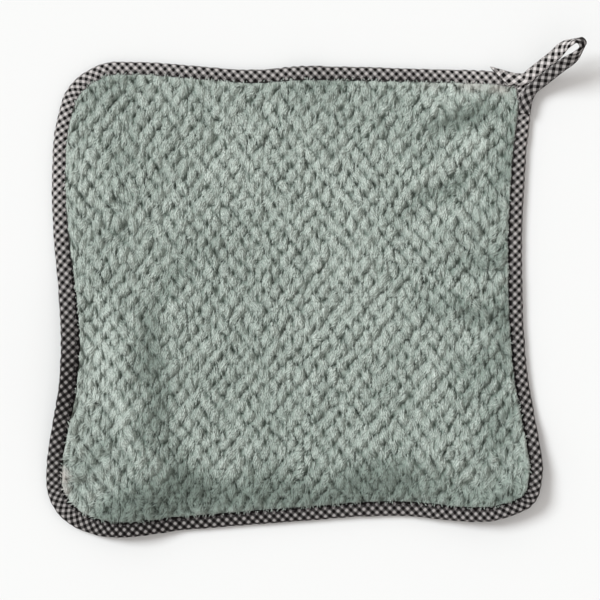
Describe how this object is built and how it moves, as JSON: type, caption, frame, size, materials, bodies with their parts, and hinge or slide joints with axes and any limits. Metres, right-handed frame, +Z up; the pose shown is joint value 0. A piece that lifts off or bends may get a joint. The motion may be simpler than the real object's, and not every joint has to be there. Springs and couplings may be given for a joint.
{
  "type": "fleece dishcloth with hanging loop",
  "caption": "Square plush fleece dishcloth lying flat, its corners and one edge lifted, bound in gingham tape with a hanging loop at one corner.",
  "frame": {"origin": "on the surface the cloth lies on, under the middle of the cloth", "axes": "+X to the right and +Y to the far edge as the cloth is seen from above with its hanging loop at the far right corner, +Z up"},
  "size_m": [0.2812, 0.2605, 0.0272],
  "materials": {
    "fleece": "grey-green coral fleece in a dimpled pile, matt with a faint sheen on the pile's tips",
    "gingham_tape": "matt black and off-white gingham in sixteenth-inch squares, cut on the bias"
  },
  "bodies": {
    "root": {"fleece_panel": "fleece", "edge_binding": "gingham_tape", "hanging_loop": "gingham_tape"}
  },
  "joints": []
}
